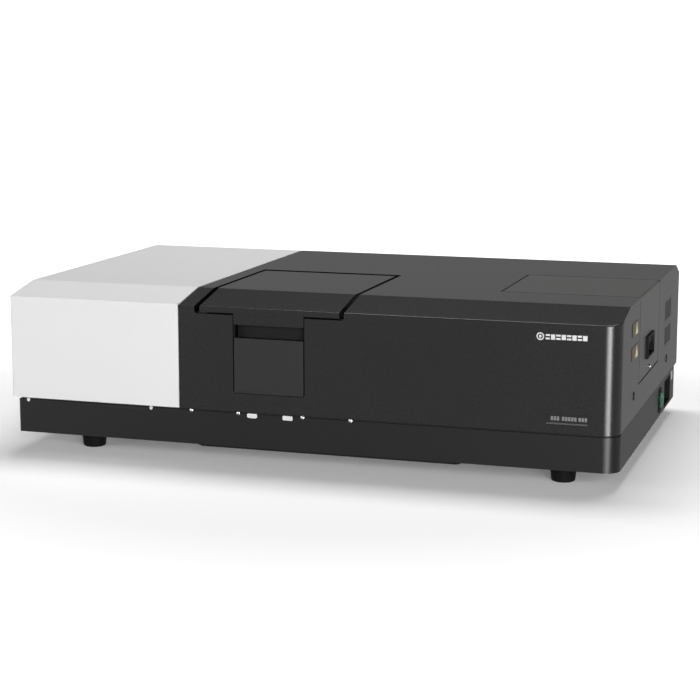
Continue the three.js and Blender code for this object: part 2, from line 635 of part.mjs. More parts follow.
// Optical bench on six legs
function opticalBench() {
  const shape = outline([[-485, -300], [490, -300], [490, 90], [320, 90], [320, 275], [-485, 275]]);
  const deck = prismZ(shape, DECK_LOW, DECK_TOP);
  const legs = [];
  for (const x of [-440, -60, 300]) {
    for (const y of [-270, 245]) {
      legs.push(rodZ(FOOT_HEIGHT + BASE_WALL + GAP, DECK_LOW + 1, x, y, 14, 20));
    }
  }
  return join(deck, ...legs);
}
place('optical_bench', opticalBench(), GREY_METAL);

// Light sources
const ON_DECK = DECK_TOP + GAP;

const sources = new THREE.Group();
sources.position.set(430, 0, ON_DECK);
instrument.add(sources);
place('deuterium_lamp', lathe([[0, 0], [19, 0], [19, 24], [15, 28], [15, 92], [9, 102], [0, 106]]),
  GLASS, sources).position.y = -72;
place('halogen_lamp', lathe([[0, 0], [15, 0], [15, 46], [7, 50], [7, 84], [4, 90], [0, 92]]),
  GLASS, sources).position.y = 20;

// Flat mirror on a turning post, used to choose a lamp or a detector
function turningMirror(angle) {
  const post = rodZ(0, 52, 0, 0, 6, 20);
  const foot = rodZ(0, 5, 0, 0, 13, 24);
  const plate = new THREE.BoxGeometry(5, 46, 50).translate(0, 0, 52 + 25 - 2).rotateZ(angle);
  return geometryOf(join(post, foot, solid(plate)));
}
const LAMP_MIRROR_AT = [356, -26];
const DETECTOR_MIRROR_AT = [-330, -180];
place('lamp_mirror', turningMirror(0.35), MIRROR).position.set(...LAMP_MIRROR_AT, ON_DECK);
place('detector_mirror', turningMirror(-0.6), MIRROR).position.set(...DETECTOR_MIRROR_AT, ON_DECK);

// Double monochromator: two grating turrets that turn together, each with a collimating mirror
function gratingTurret() {
  const turntable = rodZ(0, 14, 0, 0, 34, 32);
  const spindle = rodZ(0, 60, 0, 0, 9, 20);
  const head = [0, 1, 2].map((i) => {
    const grating = new THREE.BoxGeometry(12, 42, 52).translate(16, 0, 78);
    return solid(grating.rotateZ((i * 2 * Math.PI) / 3));
  });
  const core = rodZ(52, 104, 0, 0, 14, 20);
  return geometryOf(join(turntable, spindle, core, ...head));
}

function collimator() {
  const foot = block(-36, 36, -16, 16, 0, 12);
  const back = block(-36, 36, 4, 16, 0, 112);
  const dish = cut(block(-34, 34, -8, 5, 40, 110), rodX(-40, 40, -96, 75, 92, 64));
  return geometryOf(join(foot, back, dish));
}
const MONOCHROMATORS = { first: [258, -60, 230], second: [160, -60, 230] };
for (const [name, [x, gratingY, mirrorY]] of Object.entries(MONOCHROMATORS)) {
  place(`grating_turret_${name}`, gratingTurret(), GREY_METAL).position.set(x, gratingY, ON_DECK);
  place(`collimator_${name}`, collimator(), MIRROR).position.set(x, mirrorY, ON_DECK);
}

// Chopper: a two-sector mirror wheel and its motor
const CHOPPER = { x: 100, y: -180, radius: 46, thickness: 3 };

function chopperWheel() {
  const { radius, thickness } = CHOPPER;
  const disc = rodX(0, thickness, 0, 0, radius, 40);
  const gaps = [[-radius, -14, 4, radius], [14, radius, -radius, -4]].map(([y0, y1, z0, z1]) =>
    block(-1, thickness + 1, y0 + (y0 < 0 ? -2 : 0), y1 + (y1 > 14 ? 2 : 0),
      z0 + (z0 < 0 ? -2 : 0), z1 + (z1 > 4 ? 2 : 0)));
  const hub = rodX(-3, thickness + 4, 0, 0, 10, 20);
  return geometryOf(join(cut(disc, ...gaps), hub));
}

function chopperMotor() {
  const body = rodX(12, 52, 0, 0, 20, 28);
  const stand = block(16, 48, -16, 16, ON_DECK - BEAM_Z, -10);
  return geometryOf(join(body, stand));
}
place('chopper_wheel', chopperWheel(), MIRROR).position.set(CHOPPER.x, CHOPPER.y, BEAM_Z);
place('chopper_motor', chopperMotor(), BLACK_PLASTIC).position.set(CHOPPER.x, CHOPPER.y, BEAM_Z);

// Detectors
function detectorHousing(width, depth, height) {
  const housing = block(-width / 2, width / 2, -depth / 2, depth / 2, 0, height);
  const port = BEAM_Z - ON_DECK;
  return geometryOf(cut(housing, rodX(width / 2 - 12, width / 2 + 1, 0, port, 11, 24)));
}
place('detector_visible', detectorHousing(86, 80, 118), GREY_METAL).position.set(-430, -180, ON_DECK);
place('detector_infrared', detectorHousing(110, 96, 104), GREY_METAL).position.set(-400, -40, ON_DECK);

// Electronics
function powerSupply() {
  const low = FOOT_HEIGHT + BASE_WALL + GAP;
  return cut(block(335, 466, 140, 262, low, 82), block(345, 456, 150, 252, 80, 83));
}

function mainBoard() {
  const [x0, x1, y0, y1, z] = [-160, 80, 40, 240, DECK_TOP + 8];
  const posts = [x0 + 10, x1 - 10].flatMap((x) =>
    [y0 + 10, y1 - 10].map((y) => rodZ(ON_DECK, z + 1, x, y, 4, 12)));
  const chips = [[-120, 80, 34], [-60, 150, 40], [10, 90, 28], [30, 190, 22]].map(([x, y, s]) =>
    block(x, x + s, y, y + s, z + 1, z + 6));
  return join(block(x0, x1, y0, y1, z, z + 2), ...posts, ...chips);
}
place('power_supply', powerSupply(), GREY_METAL);
place('main_board', mainBoard(), BOARD_GREEN);

export default instrument;
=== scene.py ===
"""Looks for the double-beam spectrophotometer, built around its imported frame. Metres, +Z up."""

import json
from math import cos, pi, radians, sin

import bmesh
import bpy
from mathutils import Matrix, Vector


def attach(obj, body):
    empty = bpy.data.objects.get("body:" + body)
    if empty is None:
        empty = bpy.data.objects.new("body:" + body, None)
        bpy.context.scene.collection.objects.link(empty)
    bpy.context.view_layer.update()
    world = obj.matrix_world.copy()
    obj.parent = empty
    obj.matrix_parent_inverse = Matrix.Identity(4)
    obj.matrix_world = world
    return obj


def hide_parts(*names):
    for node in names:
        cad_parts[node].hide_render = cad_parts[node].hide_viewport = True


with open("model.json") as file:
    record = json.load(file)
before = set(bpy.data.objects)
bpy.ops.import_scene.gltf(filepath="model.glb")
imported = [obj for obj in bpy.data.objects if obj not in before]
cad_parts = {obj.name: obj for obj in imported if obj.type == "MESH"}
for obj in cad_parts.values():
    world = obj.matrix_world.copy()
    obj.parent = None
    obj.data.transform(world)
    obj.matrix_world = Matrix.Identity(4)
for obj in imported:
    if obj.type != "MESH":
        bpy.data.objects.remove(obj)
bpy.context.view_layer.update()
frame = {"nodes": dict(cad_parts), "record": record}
NODES = frame["nodes"]
MM = 0.001

# The covers, in millimetres.
FRONT = -330.0                       # front face
RIGHT = 510.0                        # right face
CORNER_RADIUS = 25.0                 # upright corner at the front right
LID = {"left": -172.0, "right": 67.0, "lip_low": 248.5}
LID_OPENING = {"left": -179.0, "right": 74.0, "rear": -2.0}
SQUARE_ON = 0.9                      # a normal's share along an axis that counts as facing that way


def box_of(node):
    """Lowest and highest corner of a CAD piece, in millimetres."""
    corners = [NODES[node].matrix_world @ Vector(corner) / MM for corner in NODES[node].bound_box]
    return Vector(map(min, zip(*corners))), Vector(map(max, zip(*corners)))


# ---------------------------------------------------------------- materials

class Graph:
    """A small helper around one material's node tree."""

    def __init__(self, name):
        self.material = bpy.data.materials.new(name)
        self.material.use_nodes = True
        self.nodes = self.material.node_tree.nodes
        self.links = self.material.node_tree.links
        self.shader = self.nodes["Principled BSDF"]
        self.place = self.add("ShaderNodeTexCoord").outputs["Object"]

    def add(self, kind, **settings):
        node = self.nodes.new(kind)
        for key, value in settings.items():
            setattr(node, key, value)
        return node

    def set(self, **values):
        """Constants on the shader's sockets; a colour is three numbers."""
        for key, value in values.items():
            socket = self.shader.inputs[key.replace("_", " ")]
            socket.default_value = (*value, 1.0) if isinstance(value, tuple) else value
        return self

    def noise(self, scale, detail=2.0, roughness=0.5, stretch=None):
        node = self.add("ShaderNodeTexNoise")
        node.inputs["Scale"].default_value = scale
        node.inputs["Detail"].default_value = detail
        node.inputs["Roughness"].default_value = roughness
        self.links.new(self.stretched(stretch), node.inputs["Vector"])
        return node.outputs["Fac"]

    def cells(self, scale, feature="F1"):
        node = self.add("ShaderNodeTexVoronoi", feature=feature)
        node.inputs["Scale"].default_value = scale
        self.links.new(self.place, node.inputs["Vector"])
        return node.outputs["Distance"]

    def stretched(self, stretch):
        if stretch is None:
            return self.place
        mapping = self.add("ShaderNodeMapping")
        mapping.inputs["Scale"].default_value = stretch
        self.links.new(self.place, mapping.inputs["Vector"])
        return mapping.outputs["Vector"]

    def spread(self, factor, low, high):
        """Most of a noise's range, mapped to low and high."""
        node = self.add("ShaderNodeMapRange")
        node.inputs["From Min"].default_value = 0.25
        node.inputs["From Max"].default_value = 0.75
        node.inputs["To Min"].default_value = low
        node.inputs["To Max"].default_value = high
        self.links.new(factor, node.inputs["Value"])
        return node.outputs["Result"]

    def blend(self, factor, first, second):
        """Two colours, blended where the noise passes its middle."""
        ramp = self.add("ShaderNodeValToRGB")
        ramp.color_ramp.elements[0].position = 0.3
        ramp.color_ramp.elements[1].position = 0.7
        ramp.color_ramp.elements[0].color = (*first, 1.0)
        ramp.color_ramp.elements[1].color = (*second, 1.0)
        self.links.new(factor, ramp.inputs["Fac"])
        return ramp.outputs["Color"]

    def math(self, operation, first, second):
        node = self.add("ShaderNodeMath", operation=operation)
        for socket, value in zip(node.inputs, (first, second)):
            if isinstance(value, (int, float)):
                socket.default_value = value
            else:
                self.links.new(value, socket)
        return node.outputs["Value"]

    def mix(self, factor, first, second):
        """Colours or colour outputs; a factor of 0 gives the first one."""
        node = self.add("ShaderNodeMix", data_type="RGBA")
        sockets = [socket for socket in node.inputs if socket.type == "RGBA"]
        for socket, value in zip(sockets, (first, second)):
            if isinstance(value, tuple):
                socket.default_value = (*value, 1.0)
            else:
                self.links.new(value, socket)
        self.links.new(factor, node.inputs["Factor"])
        return next(output for output in node.outputs if output.type == "RGBA")

    def colour(self, output):
        self.links.new(output, self.shader.inputs["Base Color"])
        return self

    def rough(self, output):
        self.links.new(output, self.shader.inputs["Roughness"])
        return self

    def bump(self, *layers):
        """Each layer is (height output, distance in metres); the first one lies at the bottom."""
        normal = None
        for height, distance in layers:
            node = self.add("ShaderNodeBump")
            node.inputs["Strength"].default_value = 1.0
            node.inputs["Distance"].default_value = distance
            self.links.new(height, node.inputs["Height"])
            if normal is not None:
                self.links.new(normal, node.inputs["Normal"])
            normal = node.outputs["Normal"]
        self.links.new(normal, self.shader.inputs["Normal"])
        return self


def tint(colour, factor):
    return tuple(min(1.0, channel * factor) for channel in colour)


def powder_paint(name, colour, roughness, specular, grain=650.0, depth=0.00003, clouding=0.04):
    """Stove-enamelled sheet: faint clouding, a fine pebbled skin and slightly uneven gloss."""
    g = Graph(name)
    cloud = g.noise(7.0, detail=3.0)
    pebble = g.noise(grain, detail=2.0, roughness=0.6)
    speck = g.noise(grain * 3.1, detail=1.0)
    g.colour(g.blend(cloud, tint(colour, 1.0 - clouding), tint(colour, 1.0 + clouding)))
    g.rough(g.spread(pebble, roughness - 0.03, roughness + 0.03))
    g.bump((pebble, depth), (speck, depth * 0.3))
    return g.set(Specular_IOR_Level=specular).material


def moulded_plastic(name, colour, roughness, specular=0.4, grain=900.0, depth=0.00003):
    """Injection-moulded plastic with a fine spark-eroded texture."""
    g = Graph(name)
    grains = g.cells(grain)
    flow = g.noise(18.0, detail=3.0, stretch=(1.0, 0.35, 1.0))
    g.colour(g.blend(flow, tint(colour, 0.93), tint(colour, 1.07)))
    g.rough(g.spread(flow, roughness - 0.04, roughness + 0.05))
    g.bump((grains, depth))
    return g.set(Specular_IOR_Level=specular).material


def foot_rubber(name, colour):
    g = Graph(name)
    bloom = g.noise(60.0, detail=4.0)
    grain = g.noise(1500.0, detail=2.0)
    g.colour(g.blend(bloom, colour, tint(colour, 1.7)))
    g.rough(g.spread(bloom, 0.62, 0.8))
    g.bump((grain, 0.00004))
    return g.set(Specular_IOR_Level=0.12).material


def brushed_metal(name, colour, roughness, direction, depth=0.000012):
    """Metal brushed along one axis: the texture is squeezed along that axis."""
    g = Graph(name)
    squeeze = tuple(0.03 if axis == direction else 1.0 for axis in "xyz")
    strokes = g.noise(2600.0, detail=3.0, stretch=squeeze)
    cloud = g.noise(30.0, detail=2.0)
    g.colour(g.blend(cloud, tint(colour, 0.94), tint(colour, 1.05)))
    g.rough(g.spread(strokes, roughness - 0.08, roughness + 0.1))
    g.bump((strokes, depth))
    return g.set(Metallic=1.0, Anisotropic=0.4).material


def cast_metal(name, colour, roughness, metallic=1.0, grain=420.0, depth=0.00012):
    """Sand-cast or bead-blasted metal."""
    g = Graph(name)
    pits = g.noise(grain, detail=5.0, roughness=0.65)
    cloud = g.noise(12.0, detail=3.0)
    g.colour(g.blend(cloud, tint(colour, 0.9), tint(colour, 1.08)))
    g.rough(g.spread(pits, roughness - 0.07, roughness + 0.1))
    g.bump((pits, depth))
    return g.set(Metallic=metallic).material


def polished_mirror(name):
    """Vacuum-coated mirror glass with the faintest haze."""
    g = Graph(name)
    haze = g.noise(40.0, detail=3.0)
    g.colour(g.blend(haze, (0.86, 0.88, 0.9), (0.93, 0.94, 0.95)))
    g.rough(g.spread(haze, 0.03, 0.08))
    return g.set(Metallic=1.0).material


def clear_glass(name, colour, roughness=0.02, ior=1.46):
    g = Graph(name)
    haze = g.noise(55.0, detail=3.0)
    g.colour(g.blend(haze, tint(colour, 0.97), colour))
    g.rough(g.spread(haze, roughness, roughness + 0.03))
    return g.set(Transmission_Weight=1.0, IOR=ior).material


def circuit_board(name, colour):
    """Solder mask with a faint weave under it."""
    g = Graph(name)
    weave = g.noise(700.0, detail=1.0, stretch=(1.0, 0.2, 1.0))
    areas = g.cells(110.0)
    g.colour(g.blend(areas, tint(colour, 0.8), tint(colour, 1.5)))
    g.rough(g.spread(weave, 0.3, 0.42))
    g.bump((weave, 0.00002))
    return g.set(Specular_IOR_Level=0.5).material


def printed_film(name, ground, mark, label, shift, half_base=13.5, margin=0.5):
    """Self-adhesive film, satin and slightly rippled, with a plain triangle printed on it.

    The triangle's apex lies shift millimetres behind the middle of the label.
    """
    corner_low, corner_high = box_of(label)
    apex = ((corner_low.y + corner_high.y) / 2 + shift) * MM
    low, high = (corner_low.z + margin) * MM, (corner_high.z - margin) * MM
    g = Graph(name)
    ripple = g.noise(90.0, detail=2.0)
    fibre = g.noise(1400.0, detail=2.0)
    parts = g.add("ShaderNodeSeparateXYZ")
    g.links.new(g.place, parts.inputs["Vector"])
    away = g.math("ABSOLUTE", g.math("SUBTRACT", parts.outputs["Y"], apex), 0.0)
    under_apex = g.math("SUBTRACT", high, parts.outputs["Z"])
    reach = g.math("MULTIPLY", under_apex, half_base * MM / (high - low))
    over_base = g.math("GREATER_THAN", parts.outputs["Z"], low)
    inside = g.math("MULTIPLY", g.math("LESS_THAN", away, reach), over_base)
    g.colour(g.mix(inside, g.blend(fibre, tint(ground, 0.9), tint(ground, 1.1)),
                   g.blend(fibre, tint(mark, 0.95), tint(mark, 1.05))))
    g.rough(g.spread(ripple, 0.38, 0.5))
    g.bump((ripple, 0.0001))
    return g.set(Specular_IOR_Level=0.4).material


# Colours are linear; roughness and specular level follow them.
MATERIALS = {
    "pale_paint": powder_paint(
        "pale_paint", (0.768, 0.768, 0.77), 0.52, 0.15, depth=0.00002, clouding=0.008),
    "dark_paint": powder_paint("dark_paint", (0.019, 0.019, 0.0192), 0.29, 0.5, depth=0.000012),
    "base_paint": powder_paint("base_paint", (0.013, 0.013, 0.0132), 0.40, 0.38, depth=0.000018),
    "lamp_cover_paint": powder_paint("lamp_cover_paint", (0.028, 0.028, 0.0262), 0.29, 0.5),
    "panel_paint": powder_paint("panel_paint", (0.028, 0.028, 0.0282), 0.30, 0.5),
    # pan_paint is darker than the other black paints: partly the pan's own black paint, partly painted
    # shade.
    "pan_paint": powder_paint("pan_paint", (0.008, 0.008, 0.008), 0.6, 0.2),
    "tub_paint": powder_paint("tub_paint", (0.05, 0.05, 0.051), 0.42, 0.45),
    # gap_painted_shade is dead black with hardly any gloss: painted shade for faces deep in gaps and
    # recesses.
    "gap_painted_shade": powder_paint("gap_painted_shade", (0.002, 0.002, 0.002), 0.9, 0.05),
    "rubber": foot_rubber("rubber", (0.004, 0.004, 0.004)),
    "black_plastic": moulded_plastic("black_plastic", (0.003, 0.003, 0.003), 0.5, 0.15),
    "motor_black": powder_paint("motor_black", (0.02, 0.02, 0.022), 0.45, 0.3),
    "pale_plastic": moulded_plastic("pale_plastic", (0.71, 0.71, 0.7), 0.32, 0.5),
    "green_plastic": moulded_plastic("green_plastic", (0.008, 0.125, 0.058), 0.3, 0.5),
    "yellow_label": printed_film(
        "yellow_label", (0.125, 0.12, 0.06), (0.88, 0.82, 0.56), "warning_label_upper", shift=12.0),
    "orange_label": printed_film(
        "orange_label", (0.15, 0.105, 0.06), (1.0, 0.82, 0.62), "warning_label_lower", shift=15.0),
    "screw_steel": brushed_metal("screw_steel", (0.7, 0.7, 0.69), 0.42, "x"),
    "black_steel": moulded_plastic("black_steel", (0.004, 0.004, 0.004), 0.16, 0.7),
    "badge_steel": brushed_metal("badge_steel", (0.9, 0.9, 0.9), 0.38, "x"),
    "grey_print": moulded_plastic("grey_print", (0.2, 0.2, 0.2), 0.5, 0.2),
    "faint_print": moulded_plastic("faint_print", (0.1, 0.1, 0.1), 0.5, 0.2),
    "plated_steel": brushed_metal("plated_steel", (0.55, 0.56, 0.55), 0.35, "y"),
    "cast_aluminium": cast_metal("cast_aluminium", (0.52, 0.53, 0.54), 0.5),
    "black_anodised": cast_metal(
        "black_anodised", (0.03, 0.03, 0.033), 0.45, metallic=0.6, grain=900.0, depth=0.00004),
    "holder_metal": cast_metal(
        "holder_metal", (0.3, 0.3, 0.31), 0.38, metallic=0.8, grain=900.0, depth=0.00003),
    "mirror": polished_mirror("mirror"),
    "quartz": clear_glass("quartz", (0.93, 0.96, 0.97)),
    "lamp_glass": clear_glass("lamp_glass", (0.95, 0.95, 0.93), ior=1.5),
    "board_green": circuit_board("board_green", (0.01, 0.09, 0.04)),
}
SLOT_OF = {row["node"]: row["material_slot"] for row in frame["record"]["subparts"]}
FINISH_OF = SLOT_OF | {
    "sample_tub": "tub_paint",
    "cell_holder_sample": "holder_metal",
    "cell_holder_reference": "holder_metal",
}
BODY_OF = {
    node: body
    for body, members in frame["record"]["behaviour"]["bodies"].items()
    for node in members
}


# ---------------------------------------------------------------- mesh helpers

def clean(mesh_editor, flat_angle=radians(0.5)):
    """Joins the triangles of a CAD mesh into its flat faces."""
    bmesh.ops.remove_doubles(mesh_editor, verts=mesh_editor.verts, dist=2e-6)
    bmesh.ops.dissolve_limit(
        mesh_editor, angle_limit=flat_angle, verts=mesh_editor.verts, edges=mesh_editor.edges)
    bmesh.ops.recalc_face_normals(mesh_editor, faces=mesh_editor.faces)


def bevel(mesh_editor, edges, width, segments, clamp=True):
    if edges and width > 0:
        bmesh.ops.bevel(
            mesh_editor, geom=edges, offset=width, offset_type="OFFSET", segments=segments,
            profile=0.5, affect="EDGES", clamp_overlap=clamp, loop_slide=False)


def soften_edges(mesh_editor, width, segments, sharp_angle, shortest, skip=lambda edge: False):
    bevel(mesh_editor, [
        edge for edge in mesh_editor.edges
        if edge.is_manifold and edge.calc_face_angle() > sharp_angle
        and edge.calc_length() > shortest and not skip(edge)
    ], width, segments)


def brow(edge):
    """The edge where a cover's front face turns back into its sloped bevel."""
    if not edge.is_manifold:
        return False
    middle = (edge.verts[0].co + edge.verts[1].co) / 2 / MM
    run = (edge.verts[1].co - edge.verts[0].co).normalized()
    upright, sloped = sorted(face.normal.z for face in edge.link_faces)
    between_them = abs(upright) < 0.05 and 0.9 < sloped < 0.995
    at_front = middle.y < FRONT + CORNER_RADIUS + 1.0
    along_front = abs(run.x) > 0.3
    around_corner = middle.x > RIGHT - CORNER_RADIUS - 5.0
    return between_them and at_front and (along_front or around_corner)


def skin(mesh_editor, node, materials, smooth_angle=radians(40)):
    """The finished mesh as a piece that replaces its CAD node and rides on the same body."""
    name = f"{node}_skin"
    body = BODY_OF[node]
    bmesh.ops.triangulate(mesh_editor, faces=mesh_editor.faces, ngon_method="BEAUTY")
    mesh = bpy.data.meshes.new(name)
    mesh_editor.to_mesh(mesh)
    mesh_editor.free()
    for material in materials:
        mesh.materials.append(MATERIALS[material])
    for polygon in mesh.polygons:
        polygon.use_smooth = True
    mesh.set_sharp_from_angle(angle=smooth_angle)
    piece = bpy.data.objects.new(name, mesh)
    bpy.context.scene.collection.objects.link(piece)
    weighted = piece.modifiers.new("even_shading", "WEIGHTED_NORMAL")
    weighted.keep_sharp = True
    weighted.mode = "FACE_AREA_WITH_ANGLE"
    weighted.weight = 80
    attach(piece, body)
    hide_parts(node)


def refine(node, width=0.6, segments=2, sharp=26, shortest=1.5, smooth=40, brow_width=0.0, black=None):
    """A fine version of a CAD piece: its true shape with softened edges, in millimetres and degrees.

    brow_width rounds the brow edge; black(centre, normal) picks the faces painted dead black, painted
    shade in gaps and recesses.
    """
    editor = bmesh.new()
    editor.from_mesh(NODES[node].data)
    clean(editor)
    skip = brow if brow_width else (lambda edge: False)
    soften_edges(editor, width * MM, segments, radians(sharp), shortest * MM, skip)
    if brow_width:
        editor.normal_update()
        bevel(editor, [edge for edge in editor.edges if brow(edge)], brow_width * MM, 5, clamp=False)
    materials = [FINISH_OF[node]]
    # Faces in gaps and recesses get the second material: painted shade, dead black.
    if black:
        materials.append("gap_painted_shade")
        editor.normal_update()
        for face in editor.faces:
            if black(face.calc_center_median() / MM, face.normal):
                face.material_index = 1
    skin(editor, node, materials, radians(smooth))


def sideways(centre, normal):
    """Faces and rounded edges that look left or right; they are painted dead black, painted shade in a
    gap or recess.
    """
    return abs(normal.x) > 0.2


def beside_lid(centre, normal):
    """Faces of the main cover around the lid's opening, painted dead black as painted shade in the gap
    around the lid.
    """
    sides = (LID_OPENING["left"], LID_OPENING["right"])
    on_side = abs(normal.x) > SQUARE_ON and min(abs(centre.x - side) for side in sides) < 0.6
    on_rear = normal.y < -SQUARE_ON and abs(centre.y - LID_OPENING["rear"]) < 0.6
    at_opening = centre.z > LID["lip_low"] - 8.5 and centre.y < LID_OPENING["rear"] + 1.0
    return at_opening and (on_side or on_rear)


def lid_edge(centre, normal):
    """The cut side edges of the lid's sheet and of its tongue, painted dead black as painted shade in
    the gap around the lid.
    """
    on_side = centre.x < LID["left"] + 3.0 or centre.x > LID["right"] - 2.0
    on_sheet = abs(normal.x) > SQUARE_ON and on_side and centre.z > LID["lip_low"] + 1.5
    on_tongue = sideways(centre, normal) and centre.z < LID["lip_low"] - 0.5
    return on_sheet or on_tongue


# ---------------------------------------------------------------- pieces

COVER = dict(segments=3, sharp=9, shortest=3.2, smooth=30)
# black= picks faces painted dead black: painted shade in the gaps around the lid and the front panel
# and in the finger recess.
REFINED = {
    "detector_cover": dict(COVER, width=1.0),
    "main_cover": dict(COVER, width=0.9, brow_width=2.0, black=beside_lid),
    "base_chassis": dict(COVER, width=0.8, sharp=14, shortest=1.5),
    "sample_lid": dict(COVER, width=0.8, brow_width=1.2, black=lid_edge),
    "lamp_cover": dict(width=0.7, segments=2, sharp=20, shortest=2.0, smooth=30),
    "front_panel": dict(width=0.7, segments=3, black=sideways),
    "belly_pan": dict(width=1.2, segments=3),
    "sample_tub": dict(width=0.8, segments=2),
    "finger_recess": dict(width=0.6, segments=2, black=sideways),
    "seam_cap_1": dict(width=1.2, segments=3),
    "seam_cap_2": dict(width=1.2, segments=3),
}
MARK_DEPTH = 0.2                     # printed and glued marks
PLATE_SINK = 0.12                    # a plate's face behind its marks
SCREW = {"radius": 3.0, "rise": 0.75, "sink": 0.1, "height": 1.9}
CROSS = {"length": 2.7, "width": 0.35, "depth": 0.5, "sink": 0.02, "turn": 0.4}


def add_box(editor, centre, size, turn=0.0, material_index=0):
    """A box with the given centre and size in millimetres, turned around its Y axis."""
    place = Matrix.Translation(centre * MM) @ Matrix.Rotation(turn, 4, "Y")
    made = bmesh.ops.create_cube(editor, size=1.0, matrix=place @ Matrix.Diagonal((*(size * MM), 1.0)))
    for face in {face for vert in made["verts"] for face in vert.link_faces}:
        face.material_index = material_index


def add_mark(editor, left, right, low, high, material_index):
    """A small flat block standing out to the front face."""
    near = Vector((left, FRONT, low))
    far = Vector((right, FRONT + MARK_DEPTH, high))
    add_box(editor, (near + far) / 2, far - near, material_index=material_index)


def add_row(editor, start, count, pitch, width, low, high, material_index):
    """A row of equal marks."""
    for i in range(count):
        left = start + i * pitch
        add_mark(editor, left, left + width, low, high, material_index)


def circle(editor, x, y, z, radius, sides):
    """Vertices around a centre in the XZ plane, or a single one when the radius is 0."""
    turn = [2 * pi * i / sides for i in range(sides)] if radius else [0.0]
    return [editor.verts.new(Vector((x + radius * cos(a), y, z + radius * sin(a))) * MM) for a in turn]


def join_circles(editor, first, second, sides, material_index=0):
    """Faces between two circles, either of which may be a single vertex."""
    for i in range(sides):
        corners = [first[i % len(first)], first[(i + 1) % len(first)],
                   second[(i + 1) % len(second)], second[i % len(second)]]
        corners = list(dict.fromkeys(corners))
        if len(corners) > 2:
            editor.faces.new(corners).material_index = material_index


def add_ring(editor, x, z, outer, inner, material_index, sides=48):
    """A flat ring on the front face, or a disc when the inner radius is 0."""
    front, rear = FRONT, FRONT + MARK_DEPTH
    profile = ((outer, rear), (outer, front), (inner, front), (inner, rear))
    loops = [circle(editor, x, y, z, radius, sides) for radius, y in profile]
    for first, second in zip(loops, loops[1:] + loops[:1]):
        join_circles(editor, first, second, sides, material_index)


def marked_plate(node, marks, draw):
    """A thin dark plate in the front, with plain marks flush with the cover's face."""
    low, high = box_of(node)
    low.y = FRONT + PLATE_SINK
    editor = bmesh.new()
    add_box(editor, (low + high) / 2, high - low)
    draw(editor)
    bmesh.ops.recalc_face_normals(editor, faces=editor.faces)
    skin(editor, node, ["dark_paint", *marks])


def draw_badge(editor):
    """A ring with a dot, then a row of blocks, every second one split."""
    ring_x, ring_z = 387.0, 237.3
    add_ring(editor, ring_x, ring_z, outer=6.0, inner=4.0, material_index=1)
    add_ring(editor, ring_x, ring_z, outer=2.2, inner=0.0, material_index=1, sides=32)
    start, pitch, width = 395.2, 8.2, 6.7
    low, split_low, split_high, high = 233.0, 235.9, 238.1, 241.0
    for i in range(8):
        left = start + i * pitch
        spans = [(low, high)] if i % 2 else [(low, split_low), (split_high, high)]
        for bottom, top in spans:
            add_mark(editor, left, left + width, bottom, top, 1)


def draw_model_marks(editor):
    """Three groups of small blocks over a line of dashes."""
    for start, count in ((405.6, 3), (423.0, 5), (448.5, 3)):
        add_row(editor, start, count, pitch=4.7, width=3.5, low=108.4, high=114.6, material_index=1)
    add_row(editor, 398.6, 16, pitch=4.0, width=3.1, low=102.2, high=104.6, material_index=2)


def domed_screw(node, rings=6, sides=40):
    """A small oval-head screw facing the front, with a cross recess painted dead black as painted
    shade.
    """
    low, high = box_of(node)
    x, z = (low.x + high.x) / 2, (low.z + high.z) / 2
    radius, rise = SCREW["radius"], SCREW["rise"]
    ball = (radius ** 2 + rise ** 2) / (2 * rise)
    editor = bmesh.new()
    loops = [circle(editor, x, FRONT + SCREW["height"], z, radius, sides)]
    for i in range(rings + 1):
        ring = radius * (1 - i / rings)
        y = FRONT + SCREW["sink"] + ball - (ball ** 2 - ring ** 2) ** 0.5
        loops.append(circle(editor, x, y, z, ring, sides))
    for first, second in zip(loops, loops[1:]):
        join_circles(editor, first, second, sides)
    editor.faces.new(loops[0])
    centre = Vector((x, FRONT + CROSS["sink"] + CROSS["depth"] / 2, z))
    bar = Vector((CROSS["length"], CROSS["depth"], CROSS["width"]))
    # The cross recess uses the second material: painted shade, dead black.
    for turn in (CROSS["turn"], CROSS["turn"] + pi / 2):
        add_box(editor, centre, bar, turn, 1)
    bmesh.ops.recalc_face_normals(editor, faces=editor.faces)
    skin(editor, node, [FINISH_OF[node], "gap_painted_shade"])


for node in NODES:
    if node == "badge":
        marked_plate(node, ["badge_steel"], draw_badge)
    elif node == "model_plate":
        marked_plate(node, ["grey_print", "faint_print"], draw_model_marks)
    elif node.startswith("seam_screw"):
        domed_screw(node)
    else:
        refine(node, **REFINED.get(node, {}))


# ---------------------------------------------------------------- studio

FLOOR_SEEN = 0.99                    # paleness of the floor to the camera
FLOOR_BOUNCED = 0.30                 # and to light that bounces off it
FLOOR_LIFT = (0.13, 1.0)             # extra light on it, at the two distances below
FLOOR_LIFT_REACH = (0.7, 2.0)        # metres from the middle of the object
ROOM = [(-0.05, 0.385), (0.17, 0.32), (0.40, 0.06), (0.60, 0.03)]     # level by upward direction
ROOM_FRONT = 0.5                     # share of that in front of the object
BACKDROP_SEEN = 1.1                  # level of the backdrop to the camera
LENS = 93.5
CAMERA_PLACE = (0.9345, -3.0101, 0.7012)
CAMERA_TURN = (79.885, 0.0, 17.606)  # degrees
AIM = Vector((0.0, 0.0, 0.14))       # the point that every lamp faces

